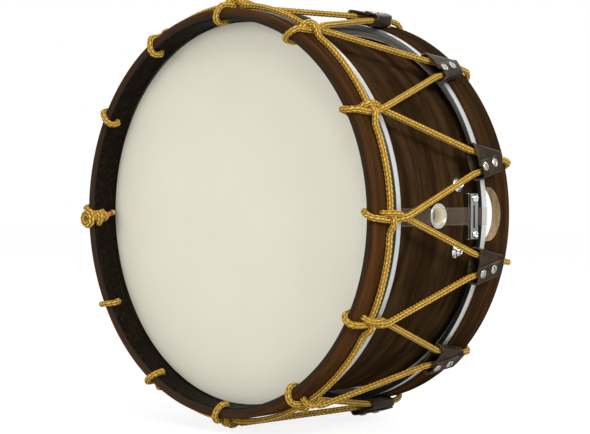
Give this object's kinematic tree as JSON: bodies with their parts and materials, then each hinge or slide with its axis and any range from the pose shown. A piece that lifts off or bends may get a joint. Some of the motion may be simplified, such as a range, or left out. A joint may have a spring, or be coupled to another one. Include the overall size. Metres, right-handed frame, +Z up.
{
  "type": "field drum",
  "caption": "Rope-tensioned wooden field drum lying on its side, with laced hoops, sliding leather tugs, two heads, snares, butt clamp and throw-off strainer.",
  "frame": {"origin": "on the floor under the middle of the whole drum, as it lies on its side", "axes": "+Z up, +Y along the drum's axis from the batter head to the snare head, +X toward the vent and the butt clamp"},
  "size_m": [0.4722, 0.2496, 0.4722],
  "materials": {
    "shell": "satin dark walnut stain",
    "inner_ring": "raw ply",
    "hoop": "satin dark walnut stain",
    "batter_film": "coated film",
    "snare_film": "thin hazy film",
    "flesh_hoop": "bright drawn",
    "rope": "braided",
    "whipping": "wound thread",
    "nickel": "polished nickel",
    "strap": "clear",
    "chrome": "polished",
    "steel": "plain",
    "leather": "oiled"
  },
  "bodies": {
    "drum": {"shell": "shell", "shell_ring_batter": "inner_ring", "shell_ring_snare": "inner_ring", "batter_counterhoop": "hoop", "snare_counterhoop": "hoop", "batter_head": "batter_film", "snare_head": "snare_film", "batter_flesh_hoop": "flesh_hoop", "snare_flesh_hoop": "flesh_hoop", "tension_rope": "rope", "running_rope": "rope", "rope_end_knot": "rope", "tail_whipping": "whipping", "vent_eyelet": "nickel", "butt_strap": "strap", "strainer_strap": "strap", "butt_base_plate": "chrome", "butt_clamp_plate": "chrome", "butt_screw_left": "chrome", "butt_screw_right": "chrome", "mushroom_bolt_left": "chrome", "mushroom_bolt_right": "chrome", "cup_washer_left": "chrome", "cup_washer_right": "chrome", "bolt_nut_left": "steel", "bolt_nut_right": "steel", "strainer_base": "chrome", "strainer_pin": "steel", "base_screw_left_front": "chrome", "base_screw_left_rear": "chrome", "base_screw_right_front": "chrome", "base_screw_right_rear": "chrome", "snare_wires": "steel"},
    "strainer_slider": {"strainer_slider": "chrome", "strainer_clamp_plate": "chrome", "clamp_screw_left": "chrome", "clamp_screw_right": "chrome"},
    "strainer_lever": {"strainer_lever": "chrome"},
    "strainer_knob": {"strainer_knob": "chrome"},
    "tug_01": {"tug_01": "leather"},
    "tug_02": {"tug_02": "leather"},
    "tug_03": {"tug_03": "leather"},
    "tug_04": {"tug_04": "leather"},
    "tug_05": {"tug_05": "leather"},
    "tug_06": {"tug_06": "leather"},
    "tug_07": {"tug_07": "leather"},
    "tug_08": {"tug_08": "leather"},
    "tug_09": {"tug_09": "leather"},
    "tug_10": {"tug_10": "leather"},
    "tug_11": {"tug_11": "leather"},
    "tug_12": {"tug_12": "leather"}
  },
  "joints": [
    {"name": "tug_01_slide", "type": "slide", "parent": "drum", "child": "tug_01", "axis": [0, -1, 0], "range_m": [0, 0.045], "deforming": ["tension_rope"]},
    {"name": "tug_02_slide", "type": "slide", "parent": "drum", "child": "tug_02", "axis": [0, -1, 0], "range_m": [0, 0.045], "deforming": ["tension_rope"]},
    {"name": "tug_03_slide", "type": "slide", "parent": "drum", "child": "tug_03", "axis": [0, -1, 0], "range_m": [0, 0.045], "deforming": ["tension_rope"]},
    {"name": "tug_04_slide", "type": "slide", "parent": "drum", "child": "tug_04", "axis": [0, -1, 0], "range_m": [0, 0.045], "deforming": ["tension_rope"]},
    {"name": "tug_05_slide", "type": "slide", "parent": "drum", "child": "tug_05", "axis": [0, -1, 0], "range_m": [0, 0.045], "deforming": ["tension_rope"]},
    {"name": "tug_06_slide", "type": "slide", "parent": "drum", "child": "tug_06", "axis": [0, -1, 0], "range_m": [0, 0.045], "deforming": ["tension_rope"]},
    {"name": "tug_07_slide", "type": "slide", "parent": "drum", "child": "tug_07", "axis": [0, -1, 0], "range_m": [0, 0.045], "deforming": ["tension_rope"]},
    {"name": "tug_08_slide", "type": "slide", "parent": "drum", "child": "tug_08", "axis": [0, -1, 0], "range_m": [0, 0.045], "deforming": ["tension_rope"]},
    {"name": "tug_09_slide", "type": "slide", "parent": "drum", "child": "tug_09", "axis": [0, -1, 0], "range_m": [0, 0.045], "deforming": ["tension_rope"]},
    {"name": "tug_10_slide", "type": "slide", "parent": "drum", "child": "tug_10", "axis": [0, -1, 0], "range_m": [0, 0.045], "deforming": ["tension_rope"]},
    {"name": "tug_11_slide", "type": "slide", "parent": "drum", "child": "tug_11", "axis": [0, -1, 0], "range_m": [0, 0.045], "deforming": ["tension_rope"]},
    {"name": "tug_12_slide", "type": "slide", "parent": "drum", "child": "tug_12", "axis": [0, -1, 0], "range_m": [0, 0.045], "deforming": ["tension_rope"]},
    {"name": "lever_throw", "type": "hinge", "parent": "drum", "child": "strainer_lever", "pos_m": [-0.2116, 0.0156, 0.2364], "axis": [0, 0, 1], "range_deg": [0, 100]},
    {"name": "slider_run", "type": "slide", "parent": "drum", "child": "strainer_slider", "axis": [0, 1, 0], "range_m": [0, 0.006], "deforming": ["strainer_strap"]},
    {"name": "knob_turn", "type": "hinge", "parent": "drum", "child": "strainer_knob", "pos_m": [-0.211, -0.0044, 0.2364], "axis": [0, 1, 0], "continuous": true}
  ],
  "couplings": [
    {"joint": "lever_throw", "follows": "slider_run", "rad_per_m": 290.89}
  ]
}
